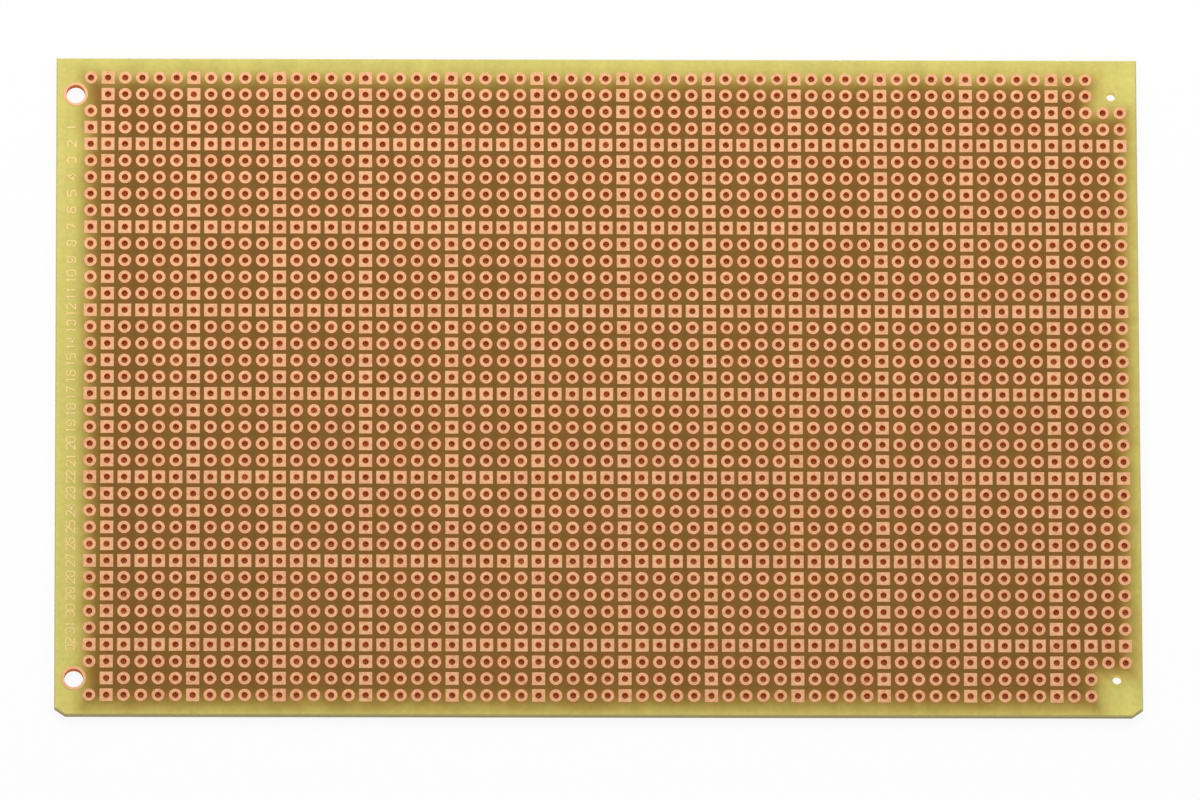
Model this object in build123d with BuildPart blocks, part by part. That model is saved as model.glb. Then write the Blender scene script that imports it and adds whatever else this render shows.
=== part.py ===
from build123d import *
from build123d import SkipClean
import os

# A double-sided prototype board with plated-through holes, lying flat. Lengths in millimetres.
# The origin is under the middle of the board. X runs along the long side and Y points to the
# edge beside pad row 1. The underside of the lower copper is at Z = 0.

# Board outline
board_length = 160.0
board_width = 100.0
laminate_thickness = 1.5
edge_bevel = 0.18
front_corner_chamfer = 1.1

# Copper that stands proud of each face, and plating on the walls of the holes
copper_height = 0.05
plating_wall = 0.025

# Pad grid
pitch = 2.54
columns = 61
rows = 38
first_column_margin = 5.1

# Pads and their lead holes
round_pad_diameter = 1.96
square_pad_side = 1.96
lead_hole_diameter = 0.96

# Every fifth line of pads is square: columns 2, 7, 12 and so on, and rows 5, 10, 15 and so on
square_interval = 5
first_square_column = 2
first_square_row = 5
first_pin_pad = (1, 4)

# Plated mounting holes at the left edge, in line with two of the pad rows
mounting_hole_diameter = 2.8
mounting_pad_diameter = 3.65
mounting_hole_rows = (2, 37)
mounting_hole_to_first_column = 2.24

# Plain tooling holes near the right edge, in line with the same rows
tooling_hole_diameter = 1.35
tooling_hole_rows = (2, 37)
tooling_hole_to_last_column = 1.3

# Corners that are left bare of pads, beside the mounting holes and round the tooling holes
bare_rows_of_first_column = (2, 37)
bare_last_columns = 2
bare_rows_of_last_columns = (1, 2, 37, 38)

# Levels and places, worked out from the sizes above
lower_face = copper_height
upper_face = lower_face + laminate_thickness
drilled_lead_hole = lead_hole_diameter + 2 * plating_wall
drilled_mounting_hole = mounting_hole_diameter + 2 * plating_wall
first_column_x = first_column_margin - board_length / 2
last_column_x = first_column_x + (columns - 1) * pitch
first_row_y = (rows - 1) * pitch / 2


def row_y(row):
    return first_row_y - (row - 1) * pitch


def has_pad(column, row):
    beside_mounting_hole = column == 1 and row in bare_rows_of_first_column
    beside_tooling_hole = column > columns - bare_last_columns and row in bare_rows_of_last_columns
    return not (beside_mounting_hole or beside_tooling_hole)


def is_square(column, row):
    in_square_column = (column - first_square_column) % square_interval == 0
    in_square_row = (row - first_square_row) % square_interval == 0
    return in_square_column or in_square_row or (column, row) == first_pin_pad


def pad_places(row, square):
    return [
        (first_column_x + (column - 1) * pitch, row_y(row))
        for column in range(1, columns + 1)
        if has_pad(column, row) and is_square(column, row) == square
    ]


mounting_hole_x = first_column_x - mounting_hole_to_first_column
mounting_hole_places = [(mounting_hole_x, row_y(row)) for row in mounting_hole_rows]
tooling_hole_x = last_column_x - tooling_hole_to_last_column
tooling_hole_places = [(tooling_hole_x, row_y(row)) for row in tooling_hole_rows]

os.makedirs("parts", exist_ok=True)

# Blank: the sheet with bevelled edges, its two front corners cut off, and the four fixing holes
with BuildPart() as blank:
    with BuildSketch(Plane.XY.offset(lower_face)) as outline:
        Rectangle(board_length, board_width)
        chamfer(outline.vertices().group_by(Axis.Y)[0], front_corner_chamfer)
    extrude(amount=laminate_thickness)
    chamfer(faces().filter_by(Axis.Z).edges(), edge_bevel)
    with Locations(*mounting_hole_places):
        Hole(drilled_mounting_hole / 2)
    with Locations(*tooling_hole_places):
        Hole(tooling_hole_diameter / 2)

# Laminate: the blank is drilled row by row, in strips that reach halfway to the next row, and the
# strips are joined into one solid sheet. Its faces keep the borders of the strips, so that none of
# them has more holes in it than one row.
drilled_strips = []
for row in range(1, rows + 1):
    strip_top = board_width / 2 if row == 1 else row_y(row) + pitch / 2
    strip_bottom = -board_width / 2 if row == rows else row_y(row) - pitch / 2
    with BuildPart() as strip:
        add(blank.part)
        with BuildSketch(Plane.XY.offset(lower_face)):
            with Locations((0, (strip_top + strip_bottom) / 2)):
                Rectangle(board_length, strip_top - strip_bottom)
        extrude(amount=laminate_thickness, mode=Mode.INTERSECT)
        with Locations(*pad_places(row, square=False), *pad_places(row, square=True)):
            Hole(drilled_lead_hole / 2)
    drilled_strips.append(strip.part)

with BuildPart() as laminate:
    with SkipClean():
        add(drilled_strips, clean=False)
laminate.part.label = "laminate"
export_step(laminate.part, "parts/laminate.step", write_pcurves=False)


# Plated hole: a ring on each face of the laminate and the barrel that joins them, one copper piece
def plated_hole(outline, hole_diameter):
    with BuildPart() as copper:
        with BuildSketch():
            add(outline)
        extrude(amount=copper_height)
        with BuildSketch(Plane.XY.offset(upper_face)):
            add(outline)
        extrude(amount=copper_height)
        with BuildSketch(Plane.XY.offset(lower_face)):
            Circle(hole_diameter / 2 + plating_wall)
        extrude(amount=laminate_thickness)
        Hole(hole_diameter / 2)
    return copper.part


with BuildSketch() as round_outline:
    Circle(round_pad_diameter / 2)
with BuildSketch() as square_outline:
    Rectangle(square_pad_side, square_pad_side)
with BuildSketch() as mounting_outline:
    Circle(mounting_pad_diameter / 2)

round_pad = plated_hole(round_outline.sketch, lead_hole_diameter)
square_pad = plated_hole(square_outline.sketch, lead_hole_diameter)
mounting_eyelet = plated_hole(mounting_outline.sketch, mounting_hole_diameter)

# Pad rows: the separate pads of one row, numbered from the edge at +Y
for row in range(1, rows + 1):
    with BuildPart() as pad_row:
        if pad_places(row, square=False):
            with Locations(*pad_places(row, square=False)):
                add(round_pad)
        with Locations(*pad_places(row, square=True)):
            add(square_pad)
    pad_row.part.label = f"pad_row_{row:02d}"
    export_step(pad_row.part, f"parts/{pad_row.part.label}.step", write_pcurves=False)

# Mounting eyelets: the plating of the two mounting holes
for side, place in zip(("upper", "lower"), mounting_hole_places):
    with BuildPart() as eyelet:
        with Locations(place):
            add(mounting_eyelet)
    eyelet.part.label = f"mounting_eyelet_{side}"
    export_step(eyelet.part, f"parts/{eyelet.part.label}.step", write_pcurves=False)
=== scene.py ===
import math
import bpy
import bmesh
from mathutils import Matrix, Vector


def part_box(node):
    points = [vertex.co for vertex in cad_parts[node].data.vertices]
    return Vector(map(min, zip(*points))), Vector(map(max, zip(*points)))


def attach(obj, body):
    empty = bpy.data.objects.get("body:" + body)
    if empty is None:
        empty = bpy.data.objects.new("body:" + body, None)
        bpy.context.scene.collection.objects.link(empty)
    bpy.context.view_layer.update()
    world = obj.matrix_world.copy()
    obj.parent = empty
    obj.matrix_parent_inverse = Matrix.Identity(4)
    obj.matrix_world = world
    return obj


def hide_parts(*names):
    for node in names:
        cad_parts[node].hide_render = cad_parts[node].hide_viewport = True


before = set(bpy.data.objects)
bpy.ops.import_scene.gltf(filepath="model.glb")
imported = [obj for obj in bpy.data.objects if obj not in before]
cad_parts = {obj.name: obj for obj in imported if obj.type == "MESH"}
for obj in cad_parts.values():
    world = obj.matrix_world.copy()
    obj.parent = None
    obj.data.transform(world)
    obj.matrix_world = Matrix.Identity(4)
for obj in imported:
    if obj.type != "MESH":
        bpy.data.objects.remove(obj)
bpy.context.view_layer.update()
print("frame loaded")

mm = 0.001
rootBody = "root"

# What the frame says about the board: its faces, and where the first and last pads lie
laminateLow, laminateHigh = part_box("laminate")
rowCount = len([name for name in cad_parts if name.startswith("pad_row_")])
firstRowLow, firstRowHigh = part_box("pad_row_01")
eyeletLow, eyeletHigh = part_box("mounting_eyelet_upper")
fullRowLow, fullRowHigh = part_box("pad_row_05")

columnCount = 61
pitch = 2.54 * mm
grid = {
    "columns": columnCount,
    "rows": rowCount,
    "pitch": pitch,
    "firstX": (fullRowLow.x + fullRowHigh.x) / 2 - (columnCount - 1) / 2 * pitch,
    "firstY": (firstRowLow.y + firstRowHigh.y) / 2,
    "squareStep": 5,        # every fifth column and row is square
    "squareColumn": 2,
    "pinColumn": 1,         # the one square pad of the first column
    "pinRow": 4,
    "cornerRows": 2,        # rows left bare beside the fixing holes, from each end
    "cornerColumns": 2,     # columns left bare at the right-hand corners
}

pad = {
    "radius": (firstRowHigh.y - firstRowLow.y) / 2,
    "holeRadius": 0.48 * mm,
    "plating": 0.025 * mm,
    "top": firstRowHigh.z,
    "upperFace": laminateHigh.z,
    "lowerFace": laminateLow.z,
    "bottom": firstRowLow.z,
    "etchSlope": 0.022 * mm,   # how far the etched side leans in at the top
    "segments": 12,            # a multiple of 4, so that a square pad gets its corners
    "sharpAngle": math.radians(40),
}


# Small helpers for node trees
def addNode(tree, kind, **settings):
    node = tree.nodes.new(kind)
    for name, value in settings.items():
        setattr(node, name, value)
    return node


def feed(tree, socket, value):
    if isinstance(value, bpy.types.NodeSocket):
        tree.links.new(value, socket)
    elif value is not None:
        socket.default_value = value


def mathNode(tree, operation, *values):
    node = addNode(tree, "ShaderNodeMath", operation=operation)
    for socket, value in zip(node.inputs, values):
        feed(tree, socket, value)
    return node.outputs[0]


def both(tree, first, second):
    return mathNode(tree, "MULTIPLY", first, second)


def either(tree, first, second):
    return mathNode(tree, "MAXIMUM", first, second)


def near(tree, value, target, within=0.5):
    return mathNode(tree, "COMPARE", value, target, within)


# Geometry nodes: the points of the pad grid
def buildPadPoints():
    tree = bpy.data.node_groups.new("padPoints", "GeometryNodeTree")
    face = tree.interface
    for name in ("Columns", "Rows", "Square Step", "Square Column", "Pin Column", "Pin Row"):
        face.new_socket(name, in_out="INPUT", socket_type="NodeSocketInt")
    for name in ("Corner Rows", "Corner Columns"):
        face.new_socket(name, in_out="INPUT", socket_type="NodeSocketInt")
    for name in ("Pitch", "First X", "First Y"):
        face.new_socket(name, in_out="INPUT", socket_type="NodeSocketFloat")
    face.new_socket("Points", in_out="OUTPUT", socket_type="NodeSocketGeometry")
    face.new_socket("Row", in_out="OUTPUT", socket_type="NodeSocketFloat")
    face.new_socket("Square", in_out="OUTPUT", socket_type="NodeSocketFloat")
    given = addNode(tree, "NodeGroupInput").outputs
    gapsAcross = mathNode(tree, "SUBTRACT", given["Columns"], 1.0)
    gapsDown = mathNode(tree, "SUBTRACT", given["Rows"], 1.0)
    sizeX = mathNode(tree, "MULTIPLY", gapsAcross, given["Pitch"])
    sizeY = mathNode(tree, "MULTIPLY", gapsDown, given["Pitch"])
    sheet = addNode(tree, "GeometryNodeMeshGrid")
    feed(tree, sheet.inputs["Size X"], sizeX)
    feed(tree, sheet.inputs["Size Y"], sizeY)
    feed(tree, sheet.inputs["Vertices X"], given["Columns"])
    feed(tree, sheet.inputs["Vertices Y"], given["Rows"])
    middle = addNode(tree, "ShaderNodeCombineXYZ")
    feed(tree, middle.inputs["X"], mathNode(tree, "MULTIPLY_ADD", sizeX, 0.5, given["First X"]))
    feed(tree, middle.inputs["Y"], mathNode(tree, "MULTIPLY_ADD", sizeY, -0.5, given["First Y"]))
    placed = addNode(tree, "GeometryNodeSetPosition")
    feed(tree, placed.inputs["Geometry"], sheet.outputs["Mesh"])
    feed(tree, placed.inputs["Offset"], middle.outputs[0])
    where = addNode(tree, "ShaderNodeSeparateXYZ")
    feed(tree, where.inputs[0], addNode(tree, "GeometryNodeInputPosition").outputs[0])
    alongX = mathNode(tree, "SUBTRACT", where.outputs["X"], given["First X"])
    alongY = mathNode(tree, "SUBTRACT", given["First Y"], where.outputs["Y"])
    stepsX = mathNode(tree, "ROUND", mathNode(tree, "DIVIDE", alongX, given["Pitch"]))
    stepsY = mathNode(tree, "ROUND", mathNode(tree, "DIVIDE", alongY, given["Pitch"]))
    column = mathNode(tree, "ADD", stepsX, 1.0)
    row = mathNode(tree, "ADD", stepsY, 1.0)
    fromSquare = mathNode(tree, "SUBTRACT", column, given["Square Column"])
    fromSquare = mathNode(tree, "ABSOLUTE", fromSquare)
    squareColumn = near(tree, mathNode(tree, "MODULO", fromSquare, given["Square Step"]), 0.0)
    squareRow = near(tree, mathNode(tree, "MODULO", row, given["Square Step"]), 0.0)
    pin = both(tree, near(tree, column, given["Pin Column"]), near(tree, row, given["Pin Row"]))
    square = either(tree, either(tree, squareColumn, squareRow), pin)
    fromTop = mathNode(tree, "SUBTRACT", row, given["Corner Rows"])
    rowsBelow = mathNode(tree, "SUBTRACT", given["Rows"], row)
    fromBottom = mathNode(tree, "SUBTRACT", rowsBelow, given["Corner Rows"])
    besideHole = either(tree, near(tree, fromTop, 0.0), near(tree, fromBottom, -1.0))
    cornerRow = either(
        tree,
        mathNode(tree, "LESS_THAN", fromTop, 0.5),
        mathNode(tree, "LESS_THAN", fromBottom, -0.5),
    )
    lastColumns = mathNode(tree, "SUBTRACT", given["Columns"], given["Corner Columns"])
    cornerColumn = mathNode(tree, "GREATER_THAN", column, mathNode(tree, "ADD", lastColumns, 0.5))
    bare = either(
        tree,
        both(tree, near(tree, column, 1.0), besideHole),
        both(tree, cornerColumn, cornerRow),
    )
    # both answers are stored on the points, where the trees that use them can read them
    stored = addNode(tree, "GeometryNodeCaptureAttribute", domain="POINT")
    stored.capture_items.new("FLOAT", "Row")
    stored.capture_items.new("FLOAT", "Square")
    feed(tree, stored.inputs["Geometry"], placed.outputs["Geometry"])
    feed(tree, stored.inputs["Row"], row)
    feed(tree, stored.inputs["Square"], square)
    kept = addNode(tree, "GeometryNodeDeleteGeometry", domain="POINT")
    feed(tree, kept.inputs["Geometry"], stored.outputs["Geometry"])
    feed(tree, kept.inputs["Selection"], bare)
    out = addNode(tree, "NodeGroupOutput").inputs
    feed(tree, out["Points"], kept.outputs["Geometry"])
    feed(tree, out["Row"], stored.outputs["Row"])
    feed(tree, out["Square"], stored.outputs["Square"])
    return tree


def padPointsIn(tree, group):
    node = addNode(tree, "GeometryNodeGroup", node_tree=group)
    node.inputs["Columns"].default_value = grid["columns"]
    node.inputs["Rows"].default_value = grid["rows"]
    node.inputs["Pitch"].default_value = grid["pitch"]
    node.inputs["First X"].default_value = grid["firstX"]
    node.inputs["First Y"].default_value = grid["firstY"]
    node.inputs["Square Step"].default_value = grid["squareStep"]
    node.inputs["Square Column"].default_value = grid["squareColumn"]
    node.inputs["Pin Column"].default_value = grid["pinColumn"]
    node.inputs["Pin Row"].default_value = grid["pinRow"]
    node.inputs["Corner Rows"].default_value = grid["cornerRows"]
    node.inputs["Corner Columns"].default_value = grid["cornerColumns"]
    return node


# Runs a geometry tree on a piece and leaves a plain mesh
def bakeTree(name, mesh, tree, values):
    source = bpy.data.objects.new(name + "Source", mesh)
    bpy.context.scene.collection.objects.link(source)
    modifier = source.modifiers.new("nodes", "NODES")
    modifier.node_group = tree
    for item in tree.interface.items_tree:
        if item.item_type == "SOCKET" and item.in_out == "INPUT" and item.name in values:
            modifier[item.identifier] = values[item.name]
    bpy.context.view_layer.update()
    evaluated = source.evaluated_get(bpy.context.evaluated_depsgraph_get())
    plain = bpy.data.meshes.new_from_object(evaluated)
    source.modifiers.remove(modifier)
    bpy.data.objects.remove(source)
    plain.name = name
    return plain


def addPiece(name, mesh):
    piece = bpy.data.objects.new(name, mesh)
    bpy.context.scene.collection.objects.link(piece)
    return piece


# One plated hole as a closed ring of copper, turned from its section.
# A square one has its outline pushed out to the sides of a square.
def ringMesh(name, size, square=False):
    hole, outer = size["holeRadius"], size["radius"]
    inner = hole + size["plating"]
    section = [
        (outer, size["upperFace"], True),
        (outer - size["etchSlope"], size["top"], True),
        (hole, size["top"], False),
        (hole, size["bottom"], False),
        (outer - size["etchSlope"], size["bottom"], True),
        (outer, size["lowerFace"], True),
        (inner, size["lowerFace"], False),
        (inner, size["upperFace"], False),
    ]
    shape = bmesh.new()
    loops = []
    for radius, height, onOutline in section:
        loop = []
        for step in range(size["segments"]):
            turn = 2 * math.pi * (step + 0.5) / size["segments"]
            x, y = math.cos(turn), math.sin(turn)
            reach = radius / max(abs(x), abs(y)) if square and onOutline else radius
            loop.append(shape.verts.new((reach * x, reach * y, height)))
        loops.append(loop)
    for first, second in zip(loops, loops[1:] + loops[:1]):
        for step in range(size["segments"]):
            after = (step + 1) % size["segments"]
            shape.faces.new((first[step], first[after], second[after], second[step]))
    bmesh.ops.recalc_face_normals(shape, faces=shape.faces)
    mesh = bpy.data.meshes.new(name)
    shape.to_mesh(mesh)
    shape.free()
    return mesh


# Flat faces stay flat, and the turned walls are shaded round
def shadeTurned(mesh):
    mesh.shade_smooth()
    mesh.set_sharp_from_angle(angle=pad["sharpAngle"])


# Geometry nodes: one row of pads on the grid's points
def buildPadRow(padPoints):
    tree = bpy.data.node_groups.new("padRow", "GeometryNodeTree")
    face = tree.interface
    face.new_socket("Row", in_out="INPUT", socket_type="NodeSocketInt")
    face.new_socket("Round Pad", in_out="INPUT", socket_type="NodeSocketObject")
    face.new_socket("Square Pad", in_out="INPUT", socket_type="NodeSocketObject")
    face.new_socket("Copper", in_out="INPUT", socket_type="NodeSocketMaterial")
    face.new_socket("Geometry", in_out="OUTPUT", socket_type="NodeSocketGeometry")
    given = addNode(tree, "NodeGroupInput").outputs
    points = padPointsIn(tree, padPoints)
    otherRows = mathNode(tree, "SUBTRACT", 1.0, near(tree, points.outputs["Row"], given["Row"]))
    thisRow = addNode(tree, "GeometryNodeDeleteGeometry", domain="POINT")
    feed(tree, thisRow.inputs["Geometry"], points.outputs["Points"])
    feed(tree, thisRow.inputs["Selection"], otherRows)
    joined = addNode(tree, "GeometryNodeJoinGeometry")
    roundOnes = mathNode(tree, "SUBTRACT", 1.0, points.outputs["Square"])
    for source, chosen in (("Round Pad", roundOnes), ("Square Pad", points.outputs["Square"])):
        template = addNode(tree, "GeometryNodeObjectInfo", transform_space="ORIGINAL")
        feed(tree, template.inputs["Object"], given[source])
        placed = addNode(tree, "GeometryNodeInstanceOnPoints")
        feed(tree, placed.inputs["Points"], thisRow.outputs["Geometry"])
        feed(tree, placed.inputs["Selection"], chosen)
        feed(tree, placed.inputs["Instance"], template.outputs["Geometry"])
        tree.links.new(placed.outputs["Instances"], joined.inputs["Geometry"])
    real = addNode(tree, "GeometryNodeRealizeInstances")
    feed(tree, real.inputs["Geometry"], joined.outputs["Geometry"])
    coated = addNode(tree, "GeometryNodeSetMaterial")
    feed(tree, coated.inputs["Geometry"], real.outputs["Geometry"])
    feed(tree, coated.inputs["Material"], given["Copper"])
    feed(tree, addNode(tree, "NodeGroupOutput").inputs["Geometry"], coated.outputs["Geometry"])
    return tree


# Geometry nodes: the holes drilled through the sheet
def buildDrilledSheet(padPoints):
    tree = bpy.data.node_groups.new("drilledSheet", "GeometryNodeTree")
    face = tree.interface
    face.new_socket("Geometry", in_out="INPUT", socket_type="NodeSocketGeometry")
    face.new_socket("Hole Radius", in_out="INPUT", socket_type="NodeSocketFloat")
    face.new_socket("Hole Sides", in_out="INPUT", socket_type="NodeSocketInt")
    face.new_socket("Depth", in_out="INPUT", socket_type="NodeSocketFloat")
    face.new_socket("Fixing Holes", in_out="INPUT", socket_type="NodeSocketObject")
    face.new_socket("Laminate", in_out="INPUT", socket_type="NodeSocketMaterial")
    face.new_socket("Geometry", in_out="OUTPUT", socket_type="NodeSocketGeometry")
    given = addNode(tree, "NodeGroupInput").outputs
    points = padPointsIn(tree, padPoints)
    drill = addNode(tree, "GeometryNodeMeshCylinder", fill_type="NGON")
    feed(tree, drill.inputs["Vertices"], given["Hole Sides"])
    feed(tree, drill.inputs["Radius"], given["Hole Radius"])
    feed(tree, drill.inputs["Depth"], given["Depth"])
    placed = addNode(tree, "GeometryNodeInstanceOnPoints")
    feed(tree, placed.inputs["Points"], points.outputs["Points"])
    feed(tree, placed.inputs["Instance"], drill.outputs["Mesh"])
    halfSide = mathNode(tree, "DIVIDE", math.pi, given["Hole Sides"])
    turned = addNode(tree, "ShaderNodeCombineXYZ")
    feed(tree, turned.inputs["Z"], halfSide)
    feed(tree, placed.inputs["Rotation"], turned.outputs[0])
    drills = addNode(tree, "GeometryNodeRealizeInstances")
    feed(tree, drills.inputs["Geometry"], placed.outputs["Instances"])
    fixing = addNode(tree, "GeometryNodeObjectInfo", transform_space="ORIGINAL")
    feed(tree, fixing.inputs["Object"], given["Fixing Holes"])
    allDrills = addNode(tree, "GeometryNodeJoinGeometry")
    tree.links.new(drills.outputs["Geometry"], allDrills.inputs["Geometry"])
    tree.links.new(fixing.outputs["Geometry"], allDrills.inputs["Geometry"])
    cut = addNode(tree, "GeometryNodeMeshBoolean", operation="DIFFERENCE", solver="MANIFOLD")
    feed(tree, cut.inputs["Mesh 1"], given["Geometry"])
    feed(tree, cut.inputs["Mesh 2"], allDrills.outputs["Geometry"])
    real = addNode(tree, "GeometryNodeRealizeInstances")
    feed(tree, real.inputs["Geometry"], cut.outputs["Mesh"])
    coated = addNode(tree, "GeometryNodeSetMaterial")
    feed(tree, coated.inputs["Geometry"], real.outputs["Geometry"])
    feed(tree, coated.inputs["Material"], given["Laminate"])
    feed(tree, addNode(tree, "NodeGroupOutput").inputs["Geometry"], coated.outputs["Geometry"])
    return tree


sheet = {
    "bevel": 0.18 * mm,
    "holeMargin": 1.2 * mm,    # no hole comes nearer to the edges than this
    "cornerCutX": 1.6 * mm,
    "cornerCutY": 1.1 * mm,
    "holeSides": pad["segments"],
    "fixingSides": 48,
    "mountingHoleX": (eyeletLow.x + eyeletHigh.x) / 2,
    "mountingHoleY": (eyeletLow.y + eyeletHigh.y) / 2,
    "mountingHoleRadius": 1.4 * mm,
    "mountingPadRadius": (eyeletHigh.x - eyeletLow.x) / 2,
    "toolingHoleX": 76.2 * mm,
    "toolingHoleY": 44.45 * mm,
    "toolingHoleRadius": 0.675 * mm,
    "drillDepth": 4 * (laminateHigh.z - laminateLow.z),    # well through the sheet both ways
}


# The sheet before it is drilled: bevelled edges, and its two front corners cut off
def blankMesh():
    cutX, cutY = sheet["cornerCutX"], sheet["cornerCutY"]
    low, high = laminateLow, laminateHigh
    corners = [
        (low.x, high.y), (low.x, low.y + cutY), (low.x + cutX, low.y),
        (high.x - cutX, low.y), (high.x, low.y + cutY), (high.x, high.y),
    ]
    inset = sheet["bevel"]
    levels = [
        (low.z, inset), (low.z + inset, 0.0), (high.z - inset, 0.0), (high.z, inset),
    ]
    shape = bmesh.new()
    loops = []
    for height, inwards in levels:
        loop = []
        for n, corner in enumerate(corners):
            here = Vector(corner)
            before = (here - Vector(corners[n - 1])).normalized()
            after = (Vector(corners[(n + 1) % len(corners)]) - here).normalized()
            inside = Vector((-before.y, before.x)) + Vector((-after.y, after.x))
            inside /= 1 + before.dot(after)
            point = here + inside * inwards
            loop.append(shape.verts.new((point.x, point.y, height)))
        loops.append(loop)
    for first, second in zip(loops, loops[1:]):
        for n in range(len(corners)):
            after = (n + 1) % len(corners)
            shape.faces.new((first[n], first[after], second[after], second[n]))
    shape.faces.new(loops[0])
    shape.faces.new(loops[-1])
    bmesh.ops.recalc_face_normals(shape, faces=shape.faces)
    mesh = bpy.data.meshes.new("blank")
    shape.to_mesh(mesh)
    shape.free()
    return mesh


# Drills for the four fixing holes
def fixingDrills():
    shape = bmesh.new()
    drilledRadius = sheet["mountingHoleRadius"] + pad["plating"]
    places = [
        (sheet["mountingHoleX"], sheet["mountingHoleY"], drilledRadius),
        (sheet["toolingHoleX"], sheet["toolingHoleY"], sheet["toolingHoleRadius"]),
    ]
    for x, y, radius in places:
        for side in (1, -1):
            made = bmesh.ops.create_cone(
                shape,
                cap_ends=True,
                segments=sheet["fixingSides"],
                radius1=radius,
                radius2=radius,
                depth=sheet["drillDepth"],
            )
            bmesh.ops.translate(shape, verts=made["verts"], vec=(x, y * side, 0))
    mesh = bpy.data.meshes.new("fixingDrills")
    shape.to_mesh(mesh)
    shape.free()
    return mesh


# Shader group: distance from the edge of the field of pads, in millimetres, above zero outside it
def buildPadField():
    tree = bpy.data.node_groups.new("padField", "ShaderNodeTree")
    tree.interface.new_socket("Position", in_out="INPUT", socket_type="NodeSocketVector")
    tree.interface.new_socket("Outside", in_out="OUTPUT", socket_type="NodeSocketFloat")
    given = addNode(tree, "NodeGroupInput").outputs
    where = addNode(tree, "ShaderNodeSeparateXYZ")
    feed(tree, where.inputs[0], given["Position"])
    left = grid["firstX"] - pad["radius"]
    right = grid["firstX"] + (grid["columns"] - 1) * grid["pitch"] + pad["radius"]
    top = grid["firstY"] + pad["radius"]
    cornerLeft = right - grid["cornerColumns"] * grid["pitch"]
    cornerTop = top - grid["cornerRows"] * grid["pitch"]
    distances = []
    for farX, farY in ((cornerLeft, top), (right, cornerTop)):
        beyondX = either(
            tree,
            mathNode(tree, "SUBTRACT", left, where.outputs["X"]),
            mathNode(tree, "SUBTRACT", where.outputs["X"], farX),
        )
        beyondY = mathNode(tree, "SUBTRACT", mathNode(tree, "ABSOLUTE", where.outputs["Y"]), farY)
        clearX = either(tree, beyondX, 0.0)
        clearY = either(tree, beyondY, 0.0)
        squared = mathNode(tree, "ADD", both(tree, clearX, clearX), both(tree, clearY, clearY))
        within = mathNode(tree, "MINIMUM", either(tree, beyondX, beyondY), 0.0)
        distances.append(mathNode(tree, "ADD", mathNode(tree, "SQRT", squared), within))
    nearest = mathNode(tree, "MINIMUM", *distances)
    out = addNode(tree, "NodeGroupOutput").inputs
    feed(tree, out["Outside"], mathNode(tree, "DIVIDE", nearest, mm))
    return tree


# Shader group: distance from the middle of the nearest pad in millimetres, and a random number
# for each pad
def buildPadCell():
    tree = bpy.data.node_groups.new("padCell", "ShaderNodeTree")
    face = tree.interface
    face.new_socket("Position", in_out="INPUT", socket_type="NodeSocketVector")
    for name in ("Reach", "Chance"):
        face.new_socket(name, in_out="OUTPUT", socket_type="NodeSocketFloat")
    given = addNode(tree, "NodeGroupInput").outputs
    where = addNode(tree, "ShaderNodeSeparateXYZ")
    feed(tree, where.inputs[0], given["Position"])
    offsets, cells = [], []
    for axis, start in (("X", grid["firstX"]), ("Y", grid["firstY"])):
        fromStart = mathNode(tree, "SUBTRACT", where.outputs[axis], start)
        cell = mathNode(tree, "DIVIDE", fromStart, grid["pitch"])
        nearest = mathNode(tree, "ROUND", cell)
        cells.append(nearest)
        offset = mathNode(tree, "SUBTRACT", cell, nearest)
        offsets.append(mathNode(tree, "MULTIPLY", offset, grid["pitch"] / mm))
    squares = [both(tree, offset, offset) for offset in offsets]
    squared = mathNode(tree, "ADD", *squares)
    index = addNode(tree, "ShaderNodeCombineXYZ")
    feed(tree, index.inputs["X"], cells[0])
    feed(tree, index.inputs["Y"], cells[1])
    chance = addNode(tree, "ShaderNodeTexWhiteNoise", noise_dimensions="2D")
    feed(tree, chance.inputs["Vector"], index.outputs[0])
    out = addNode(tree, "NodeGroupOutput").inputs
    feed(tree, out["Reach"], mathNode(tree, "SQRT", squared))
    feed(tree, out["Chance"], chance.outputs["Value"])
    return tree


def newMaterial(name):
    material = bpy.data.materials.new(name)
    material.use_nodes = True
    tree = material.node_tree
    return material, tree, tree.nodes["Principled BSDF"]


def objectPosition(tree):
    return addNode(tree, "ShaderNodeTexCoord").outputs["Object"]


def groupIn(tree, group, position):
    node = addNode(tree, "ShaderNodeGroup", node_tree=group)
    feed(tree, node.inputs["Position"], position)
    return node.outputs


# Most of a noise texture's values lie between these two
noiseSpan = (0.3, 0.7)


def noiseAt(tree, position, scale, detail=2.0, stretch=(1, 1, 1)):
    mapping = addNode(tree, "ShaderNodeMapping")
    feed(tree, mapping.inputs["Vector"], position)
    mapping.inputs["Scale"].default_value = stretch
    noise = addNode(tree, "ShaderNodeTexNoise")
    feed(tree, noise.inputs["Vector"], mapping.outputs[0])
    noise.inputs["Scale"].default_value = scale
    noise.inputs["Detail"].default_value = detail
    return noise.outputs[0]


def rangeOf(tree, value, fromLow, fromHigh, toLow=0.0, toHigh=1.0, smooth=False):
    node = addNode(tree, "ShaderNodeMapRange")
    if smooth:
        node.interpolation_type = "SMOOTHSTEP"
    for name, number in (("Value", value), ("From Min", fromLow), ("From Max", fromHigh)):
        feed(tree, node.inputs[name], number)
    feed(tree, node.inputs["To Min"], toLow)
    feed(tree, node.inputs["To Max"], toHigh)
    return node.outputs[0]


# A screen colour, 0 to 255, as linear light
def colour(red, green, blue):
    linear = []
    for value in (red / 255, green / 255, blue / 255):
        dark = value / 12.92
        light = ((value + 0.055) / 1.055) ** 2.4
        linear.append(light if value > 0.04045 else dark)
    return (*linear, 1.0)


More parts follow.
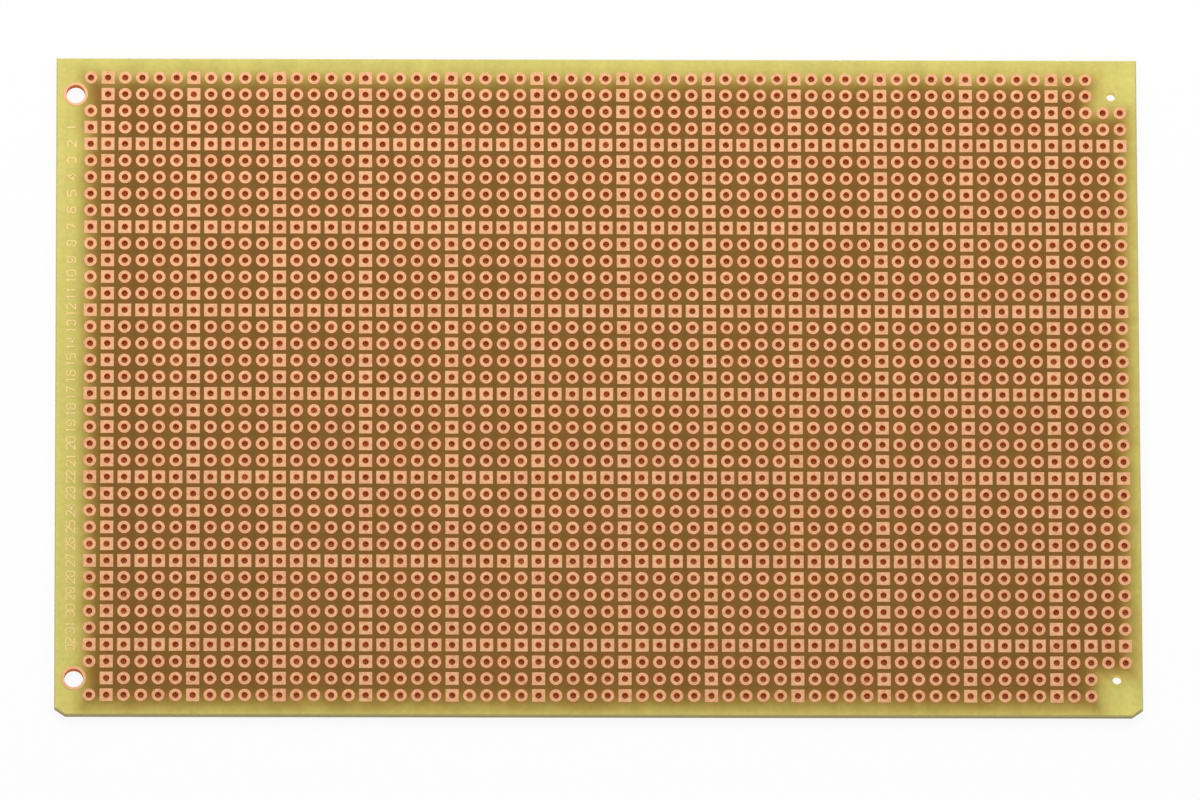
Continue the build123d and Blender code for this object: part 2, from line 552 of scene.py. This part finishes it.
def mixColour(tree, share, first, second, blend="MIX"):
    node = addNode(tree, "ShaderNodeMix", data_type="RGBA", blend_type=blend)
    feed(tree, node.inputs["Factor"], share)
    feed(tree, node.inputs[6], first)
    feed(tree, node.inputs[7], second)
    return node.outputs[2]


def bumpFrom(tree, height, strength, distance):
    node = addNode(tree, "ShaderNodeBump")
    node.inputs["Strength"].default_value = strength
    node.inputs["Distance"].default_value = distance
    feed(tree, node.inputs["Height"], height)
    return node.outputs[0]


laminateLook = {
    # the sheet's own colour with the painted glow of light through it at full, where no copper is near
    "glowingMargin": colour(218, 206, 114),
    "underPads": colour(188, 160, 60),         # what light there is has come through the sheet
    # painted shade among the pads, where copper keeps light out of the sheet
    "between": colour(121, 91, 33),
    # close beside each pad: partly painted shadow, partly the etched sheet's own tone
    "shadeBesidePads": colour(137, 86, 28),
    # partly the cut edge's own pale tone, partly a painted highlight along the edge
    "bevel": colour(204, 194, 140),
    # partly the cut side's own tone, partly painted shade
    "side": colour(200, 186, 124),
    "ply": colour(172, 156, 94),
    "holeWall": colour(150, 142, 82),          # light that the sheet passes on into its bare holes
    "lightFrom": (-0.12 * mm, 0.9 * mm, 0.0),  # light gets into the sheet from this side
    "glowMiddle": 0.35,                        # how far under the pads the glow is half gone, mm
    "glowReach": 1.8,
    "cloudScale": 260.0,                       # soft unevenness of the glow's edge
    "cloudShift": 0.3,
    "mottleScale": 1500.0,
    "mottleShift": 1.1,
    "padShade": (1.05, 1.65),                  # where the painted shade beside a pad passes into the painted shade of the gap, mm
    "streakScale": 420.0,
    "streakStretch": (1.0, 0.03, 1.0),
    "streakShare": 0.65,
    "threadScale": 520.0,
    "threadStretch": (0.05, 1.0, 1.0),
    "darkYarn": (0.92, 0.93, 0.90, 1),
    "paleYarn": (1.06, 1.05, 1.03, 1),
    "darkSpeck": (0.94, 0.95, 0.93, 1),
    "paleSpeck": (1.05, 1.04, 1.04, 1),
    "yarnSpan": (0.35, 0.65),
    "bevelSlope": (0.85, 0.8),                 # upward part of the normal, flat face to bevel
    "wallSlope": (0.3, 0.2),                   # and bevel to upright wall
    "plies": 8,
    "plySpan": (0.05, 0.4),
    "plyScale": 900.0,
    "plyStretch": (0.2, 0.2, 1.0),
    "plyWander": 0.4,
    "frayScale": 1400.0,
    "frayed": (0.55, 0.95),
    "roughness": (0.55, 0.42),
    "bumpStrength": 0.25,
    "bumpHeight": 0.02 * mm,
    "specular": 0.14,
}


# Glass-epoxy sheet: its colour holds painted light, a glow where no copper shades it, and painted shade,
# brown, among the pads
def laminateMaterial(padField, padCell):
    material, tree, surface = newMaterial("glassEpoxy")
    look = laminateLook
    position = objectPosition(tree)
    where = addNode(tree, "ShaderNodeSeparateXYZ")
    feed(tree, where.inputs[0], position)
    cell = groupIn(tree, padCell, position)
    # painted glow of light through the sheet, strongest at the margins and fading in under the field of
    # pads
    shifted = addNode(tree, "ShaderNodeVectorMath", operation="ADD")
    feed(tree, shifted.inputs[0], position)
    shifted.inputs[1].default_value = look["lightFrom"]
    outside = groupIn(tree, padField, shifted.outputs[0])["Outside"]
    uneven = noiseAt(tree, position, look["cloudScale"], 3.0)
    cloud = rangeOf(tree, uneven, *noiseSpan, -look["cloudShift"], look["cloudShift"])
    depth = mathNode(tree, "ADD", mathNode(tree, "ADD", outside, look["glowMiddle"]), cloud)
    glow = mathNode(tree, "TANH", mathNode(tree, "DIVIDE", depth, look["glowReach"]))
    glow = mathNode(tree, "MULTIPLY_ADD", glow, 0.5, 0.5)
    mottle = noiseAt(tree, position, look["mottleScale"])
    mottled = mathNode(tree, "SUBTRACT", mottle, 0.5)
    # painted shade among the pads, with a ragged edge round each pad
    ragged = mathNode(tree, "MULTIPLY_ADD", mottled, look["mottleShift"], cell["Reach"])
    reach = rangeOf(tree, ragged, *look["padShade"], smooth=True)
    shade = mixColour(tree, reach, look["shadeBesidePads"], look["between"])
    lit = mixColour(tree, glow, look["underPads"], look["glowingMargin"])
    base = mixColour(tree, glow, shade, lit)
    # glass yarns: fine streaks down the board and a fainter weave across it
    streaks = noiseAt(tree, position, look["streakScale"], 2.0, look["streakStretch"])
    threads = noiseAt(tree, position, look["threadScale"], 1.0, look["threadStretch"])
    threads = both(tree, threads, 1 - look["streakShare"])
    weave = mathNode(tree, "MULTIPLY_ADD", streaks, look["streakShare"], threads)
    yarn = rangeOf(tree, weave, *look["yarnSpan"])
    woven = mixColour(tree, yarn, look["darkYarn"], look["paleYarn"])
    base = mixColour(tree, 1.0, base, woven, "MULTIPLY")
    speck = rangeOf(tree, mottle, *noiseSpan)
    speckled = mixColour(tree, speck, look["darkSpeck"], look["paleSpeck"])
    base = mixColour(tree, 1.0, base, speckled, "MULTIPLY")
    # cut edges: a pale bevel, partly a painted highlight, and plies down the side, whose tone is partly
    # painted shade
    facing = addNode(tree, "ShaderNodeSeparateXYZ")
    feed(tree, facing.inputs[0], addNode(tree, "ShaderNodeNewGeometry").outputs["True Normal"])
    upright = mathNode(tree, "ABSOLUTE", facing.outputs["Z"])
    plyThickness = (laminateHigh.z - laminateLow.z) / look["plies"]
    layer = mathNode(tree, "DIVIDE", where.outputs["Z"], plyThickness)
    wander = noiseAt(tree, position, look["plyScale"], 2.0, look["plyStretch"])
    wavy = rangeOf(tree, wander, *noiseSpan, -look["plyWander"], look["plyWander"])
    ply = mathNode(tree, "PINGPONG", mathNode(tree, "ADD", layer, wavy), 0.5)
    side = mixColour(tree, rangeOf(tree, ply, *look["plySpan"]), look["ply"], look["side"])
    fibres = noiseAt(tree, position, look["frayScale"])
    frayed = rangeOf(tree, fibres, *noiseSpan, *look["frayed"])
    sloping = both(tree, frayed, rangeOf(tree, upright, *look["bevelSlope"]))
    base = mixColour(tree, sloping, base, look["bevel"])
    vertical = rangeOf(tree, upright, *look["wallSlope"])
    base = mixColour(tree, vertical, base, side)
    tree.links.new(base, surface.inputs["Base Color"])
    # the walls of the bare holes glow a little
    fromMiddleX = mathNode(tree, "ABSOLUTE", where.outputs["X"])
    fromMiddleY = mathNode(tree, "ABSOLUTE", where.outputs["Y"])
    offEnds = mathNode(tree, "LESS_THAN", fromMiddleX, laminateHigh.x - sheet["holeMargin"])
    offFront = mathNode(tree, "LESS_THAN", fromMiddleY, laminateHigh.y - sheet["holeMargin"])
    passed = both(tree, vertical, both(tree, offEnds, offFront))
    shining = mixColour(tree, passed, (0, 0, 0, 1), look["holeWall"])
    tree.links.new(shining, surface.inputs["Emission Color"])
    surface.inputs["Emission Strength"].default_value = 1.0
    tree.links.new(rangeOf(tree, weave, *noiseSpan, *look["roughness"]), surface.inputs["Roughness"])
    rough = bumpFrom(tree, weave, look["bumpStrength"], look["bumpHeight"])
    tree.links.new(rough, surface.inputs["Normal"])
    surface.inputs["Specular IOR Level"].default_value = look["specular"]
    return material


copperLook = {
    "nearHole": colour(217, 153, 112),
    "middle": colour(222, 168, 122),
    "rim": colour(210, 163, 111),
    "worn": colour(208, 148, 104),
    "bright": colour(238, 187, 144),
    "barrel": colour(240, 161, 74),
    "litBarrel": colour(251, 190, 130),
    "line": colour(234, 208, 136),
    "litHoleShare": 0.3,        # share of the holes painted lighter down the barrel, painted light seen in them, a few of them bright
    "wornShare": 0.8,          # how much of the worn tone the dullest pads get
    "ringStart": 0.5,          # from the middle of the hole, mm
    "ringMiddle": 0.75,
    "ringEdge": 0.97,
    "filmScale": 60.0,         # broad film of oxide
    "filmSpan": (0.35, 0.7),
    "filmShare": 0.3,
    "grainScale": 1900.0,
    "grainSpan": (0.4, 0.68),
    "grainShare": 0.75,
    "barrelStart": 0.005 * mm, # below the ring's face
    "barrelFull": 0.02 * mm,
    "roughness": (0.46, 0.58),
    "bumpStrength": 0.2,
    "bumpHeight": 0.006 * mm,
    "metallic": 0.45,
}


# Copper: satin, a little different on every pad, with a tone of its own down the holes, and painted
# light down some of them
def copperMaterial(name, tone, barrel=None, padCell=None):
    material, tree, surface = newMaterial(name)
    look = copperLook
    position = objectPosition(tree)
    if padCell:
        cell = groupIn(tree, padCell, position)
        inward = rangeOf(tree, cell["Reach"], look["ringStart"], look["ringMiddle"], smooth=True)
        tone = mixColour(tree, inward, look["nearHole"], tone)
        outward = rangeOf(tree, cell["Reach"], look["ringMiddle"], look["ringEdge"], smooth=True)
        tone = mixColour(tree, outward, tone, look["rim"])
        worn = both(tree, cell["Chance"], look["wornShare"])
        tone = mixColour(tree, worn, tone, look["worn"])
        # painted light down a random share of the holes
        kept = rangeOf(tree, cell["Chance"], 0.0, look["litHoleShare"], 1.0, 0.0)
        barrel = mixColour(tree, kept, barrel, look["litBarrel"])
    if barrel:
        film = rangeOf(tree, noiseAt(tree, position, look["filmScale"], 3.0), *look["filmSpan"])
        tone = mixColour(tree, both(tree, film, look["filmShare"]), tone, look["worn"])
    grain = noiseAt(tree, position, look["grainScale"])
    polished = rangeOf(tree, grain, *look["grainSpan"], 0.0, look["grainShare"])
    tone = mixColour(tree, polished, tone, look["bright"])
    if barrel:
        where = addNode(tree, "ShaderNodeSeparateXYZ")
        feed(tree, where.inputs[0], position)
        height = where.outputs["Z"]
        start, full = look["barrelStart"], look["barrelFull"]
        below = rangeOf(tree, height, pad["top"] - full, pad["top"] - start, 1.0, 0.0)
        above = rangeOf(tree, height, pad["bottom"] + start, pad["bottom"] + full)
        tone = mixColour(tree, both(tree, below, above), tone, barrel)
    tree.links.new(tone, surface.inputs["Base Color"])
    tree.links.new(rangeOf(tree, grain, *noiseSpan, *look["roughness"]), surface.inputs["Roughness"])
    rough = bumpFrom(tree, grain, look["bumpStrength"], look["bumpHeight"])
    tree.links.new(rough, surface.inputs["Normal"])
    surface.inputs["Metallic"].default_value = look["metallic"]
    return material


padField = buildPadField()
padCell = buildPadCell()
glassEpoxy = laminateMaterial(padField, padCell)
copper = copperMaterial("copperPads", copperLook["middle"], copperLook["barrel"], padCell)
plainCopper = copperMaterial("copperPlain", copperLook["middle"], copperLook["barrel"])
lineCopper = copperMaterial("copperLines", copperLook["line"])
print("materials made")

# Pads, one piece for each row
padPoints = buildPadPoints()
padRowTree = buildPadRow(padPoints)
roundPad = addPiece("roundPad", ringMesh("roundPad", pad))
squarePad = addPiece("squarePad", ringMesh("squarePad", pad, square=True))
emptyMesh = bpy.data.meshes.new("nothing")
for number in range(1, rowCount + 1):
    values = {"Row": number, "Round Pad": roundPad, "Square Pad": squarePad, "Copper": copper}
    mesh = bakeTree(f"padRow{number:02d}", emptyMesh, padRowTree, values)
    shadeTurned(mesh)
    row = addPiece(f"padRow{number:02d}", mesh)
    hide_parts(f"pad_row_{number:02d}")
    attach(row, rootBody)
bpy.data.objects.remove(roundPad)
bpy.data.objects.remove(squarePad)
print("pads placed")

# Mounting eyelets: pads of the same make, only larger and with more sides
eyelet = dict(
    pad,
    radius=sheet["mountingPadRadius"],
    holeRadius=sheet["mountingHoleRadius"],
    segments=sheet["fixingSides"],
)
for side, sign in (("upper", 1), ("lower", -1)):
    mesh = ringMesh(f"mountingEyelet{side.capitalize()}", eyelet)
    for vertex in mesh.vertices:
        vertex.co += Vector((sheet["mountingHoleX"], sign * sheet["mountingHoleY"], 0))
    shadeTurned(mesh)
    mesh.materials.append(plainCopper)
    piece = addPiece(mesh.name, mesh)
    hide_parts(f"mounting_eyelet_{side}")
    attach(piece, rootBody)
print("mounting eyelets made")

# Laminate: the blank with all its holes drilled
drills = addPiece("fixingDrills", fixingDrills())
drilled = bakeTree("laminateSheet", blankMesh(), buildDrilledSheet(padPoints), {
    "Hole Radius": pad["holeRadius"] + pad["plating"],
    "Hole Sides": sheet["holeSides"],
    "Depth": sheet["drillDepth"],
    "Fixing Holes": drills,
    "Laminate": glassEpoxy,
})
bpy.data.objects.remove(drills)
board = addPiece("laminateSheet", drilled)
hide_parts("laminate")
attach(board, rootBody)
print("laminate drilled,", len(drilled.polygons), "faces")

# Contact numbers etched in thin copper lines beside the first column, read from the right-hand side
legend = {
    "count": 32,
    "firstRow": 4,             # contact 1 is the row of the square pad in the first column
    "middleX": -77.7 * mm,
    "height": 1.25 * mm,
    "advance": 1.02 * mm,      # from one digit to the next
    "line": 0.155 * mm,
    "thickness": 0.035 * mm,
    "unitsHigh": 6,            # the digits are drawn four units wide and six high
    "unitsWide": 4,
    "sharpestMitre": 0.3,
}
digitLines = {
    "0": [
        [(1, 0), (3, 0), (4, 1), (4, 5), (3, 6), (1, 6), (0, 5), (0, 1), (1, 0)],
    ],
    "1": [[(1, 5), (2, 6), (2, 0)]],
    "2": [[(0, 5), (1, 6), (3, 6), (4, 5), (4, 4), (0, 0), (4, 0)]],
    "3": [
        [(0, 5), (1, 6), (3, 6), (4, 5), (4, 4), (3, 3), (4, 2), (4, 1), (3, 0), (1, 0), (0, 1)],
        [(1.5, 3), (3, 3)],
    ],
    "4": [[(3, 0), (3, 6), (0, 2), (4, 2)]],
    "5": [
        [(4, 6), (0, 6), (0, 3.5), (3, 3.5), (4, 2.5), (4, 1), (3, 0), (0, 0)],
    ],
    "6": [
        [(4, 5), (3, 6), (1, 6), (0, 5), (0, 1), (1, 0), (3, 0), (4, 1), (4, 2.5), (3, 3.5), (0, 3.5)],
    ],
    "7": [[(0, 6), (4, 6), (1.5, 0)]],
    "8": [
        [(1, 3), (0, 2), (0, 1), (1, 0), (3, 0), (4, 1), (4, 2), (3, 3),
         (4, 4), (4, 5), (3, 6), (1, 6), (0, 5), (0, 4), (1, 3), (3, 3)],
    ],
    "9": [
        [(0, 1), (1, 0), (3, 0), (4, 1), (4, 5), (3, 6), (1, 6), (0, 5), (0, 3.5), (1, 2.5), (4, 2.5)],
    ],
}


# A line of even width with mitred corners, standing on the laminate
def addLine(shape, points):
    half = legend["line"] / 2
    low = pad["upperFace"]
    high = low + legend["thickness"]
    rings = []
    for n, point in enumerate(points):
        before = (point - points[n - 1]).normalized() if n else None
        after = (points[n + 1] - point).normalized() if n + 1 < len(points) else None
        before, after = before or after, after or before
        aside = Vector((-before.y, before.x)) + Vector((-after.y, after.x))
        aside *= half / max(1 + before.dot(after), legend["sharpestMitre"])
        corners = [(aside, low), (aside, high), (-aside, high), (-aside, low)]
        rings.append([shape.verts.new((point.x + v.x, point.y + v.y, z)) for v, z in corners])
    for first, second in zip(rings, rings[1:]):
        for n in range(4):
            after = (n + 1) % 4
            shape.faces.new((first[n], first[after], second[after], second[n]))
    shape.faces.new(rings[0])
    shape.faces.new(rings[-1])


def legendMesh():
    shape = bmesh.new()
    unit = legend["height"] / legend["unitsHigh"]
    digitTop = legend["middleX"] + legend["height"] / 2
    for number in range(1, legend["count"] + 1):
        digits = str(number)
        row = legend["firstRow"] + number - 1
        middleY = grid["firstY"] - (row - 1) * grid["pitch"]
        width = (len(digits) - 1) * legend["advance"] + legend["unitsWide"] * unit
        for place, digit in enumerate(digits):
            start = middleY - width / 2 + place * legend["advance"]
            for line in digitLines[digit]:
                addLine(shape, [Vector((digitTop - y * unit, start + x * unit)) for x, y in line])
    bmesh.ops.recalc_face_normals(shape, faces=shape.faces)
    made = bpy.data.meshes.new("contactNumbers")
    shape.to_mesh(made)
    shape.free()
    return made


numbersMesh = legendMesh()
numbersMesh.materials.append(lineCopper)
numbers = addPiece("contactNumbers", numbersMesh)
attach(numbers, rootBody)
print("contact numbers etched")

# Floor: pale and plain, white to the camera, with the board's soft shadow on it, but under the field of
# pads tinted warm and not white: painted light seen down the holes
floorLook = {
    "size": 6.0,
    "height": -0.02 * mm,                  # a hair below the copper, so that the two don't share a plane
    "colour": (0.92, 0.92, 0.91, 1),
    "warmLightUnderHoles": (1.0, 0.80, 0.46, 1),    # painted warm light, standing for light that comes down through the copper
    "whiteShare": 0.91,
    "holesStart": -0.42,                   # between the edge of the field and its first holes, mm
    "edgeBlur": 0.05,
    "roughness": 0.9,
    "specular": 0.0,
}


def floorMaterial(padField):
    material, tree, surface = newMaterial("floor")
    outside = groupIn(tree, padField, objectPosition(tree))["Outside"]
    start = floorLook["holesStart"]
    clear = rangeOf(tree, outside, start - floorLook["edgeBlur"], start)
    # the floor is plain seen from below
    clear = either(tree, clear, addNode(tree, "ShaderNodeNewGeometry").outputs["Backfacing"])
    # painted warm light on the floor under the holes
    tone = mixColour(tree, clear, floorLook["warmLightUnderHoles"], floorLook["colour"])
    tree.links.new(tone, surface.inputs["Base Color"])
    surface.inputs["Roughness"].default_value = floorLook["roughness"]
    surface.inputs["Specular IOR Level"].default_value = floorLook["specular"]
    glow = addNode(tree, "ShaderNodeEmission")
    glow.inputs["Color"].default_value = (1, 1, 1, 1)
    seen = addNode(tree, "ShaderNodeLightPath").outputs["Is Camera Ray"]
    mixed = addNode(tree, "ShaderNodeMixShader")
    feed(tree, mixed.inputs[0], both(tree, both(tree, seen, clear), floorLook["whiteShare"]))
    tree.links.new(surface.outputs[0], mixed.inputs[1])
    tree.links.new(glow.outputs[0], mixed.inputs[2])
    tree.links.new(mixed.outputs[0], tree.nodes["Material Output"].inputs["Surface"])
    return material


half = floorLook["size"] / 2
floorMesh = bpy.data.meshes.new("floor")
level = floorLook["height"]
corners = [(-half, -half, level), (half, -half, level), (half, half, level), (-half, half, level)]
floorMesh.from_pydata(corners, [], [(0, 1, 2, 3)])
floorMesh.materials.append(floorMaterial(padField))
floor = addPiece("floor", floorMesh)

# Light: an even pale surround and two broad soft lamps beyond the back corners
lightLook = {
    "worldStrength": 0.46,
    "lamps": [
        {"name": "leftLamp", "place": (-0.18, 0.36, 0.5), "size": 0.35, "power": 1.9},
        {"name": "rightLamp", "place": (0.24, 0.33, 0.45), "size": 0.35, "power": 1.1},
    ],
}
world = bpy.data.worlds.new("surround")
bpy.context.scene.world = world
world.use_nodes = True
background = world.node_tree.nodes["Background"]
background.inputs["Color"].default_value = (1, 1, 1, 1)
background.inputs["Strength"].default_value = lightLook["worldStrength"]
for lamp in lightLook["lamps"]:
    light = bpy.data.lights.new(lamp["name"], "AREA")
    light.size = lamp["size"]
    light.energy = lamp["power"]
    holder = bpy.data.objects.new(lamp["name"], light)
    bpy.context.scene.collection.objects.link(holder)
    holder.location = lamp["place"]
    holder.rotation_mode = "QUATERNION"
    holder.rotation_quaternion = (-Vector(lamp["place"])).to_track_quat("-Z", "Y")

# Camera: long lens, nearly overhead, leaning a little towards the front edge
cameraLook = {
    "tilt": 14.44,        # degrees from straight down
    "heading": 1.27,
    "roll": -0.12,
    "distance": 2.719,
    "pixelsPerMetre": 6775.2,
    "frameWidth": 1200,
    "aimOffset": (0.356 * mm, -1.685 * mm),
    "sensorWidth": 36.0,
    "farthest": 20.0,
}
cameraData = bpy.data.cameras.new("camera")
cameraData.sensor_width = cameraLook["sensorWidth"]
lensPixels = cameraLook["pixelsPerMetre"] * cameraLook["distance"]
cameraData.lens = lensPixels / cameraLook["frameWidth"] * cameraData.sensor_width
cameraData.clip_end = cameraLook["farthest"]
camera = bpy.data.objects.new("camera", cameraData)
bpy.context.scene.collection.objects.link(camera)
camera.rotation_mode = "ZYX"
turns = (cameraLook["tilt"], -cameraLook["heading"], -cameraLook["roll"])
camera.rotation_euler = [math.radians(turn) for turn in turns]
turned = camera.rotation_euler.to_matrix()
aside, above = cameraLook["aimOffset"]
camera.location = turned @ Vector((aside, above, cameraLook["distance"]))
bpy.context.scene.camera = camera

bpy.context.scene.view_settings.view_transform = "Standard"
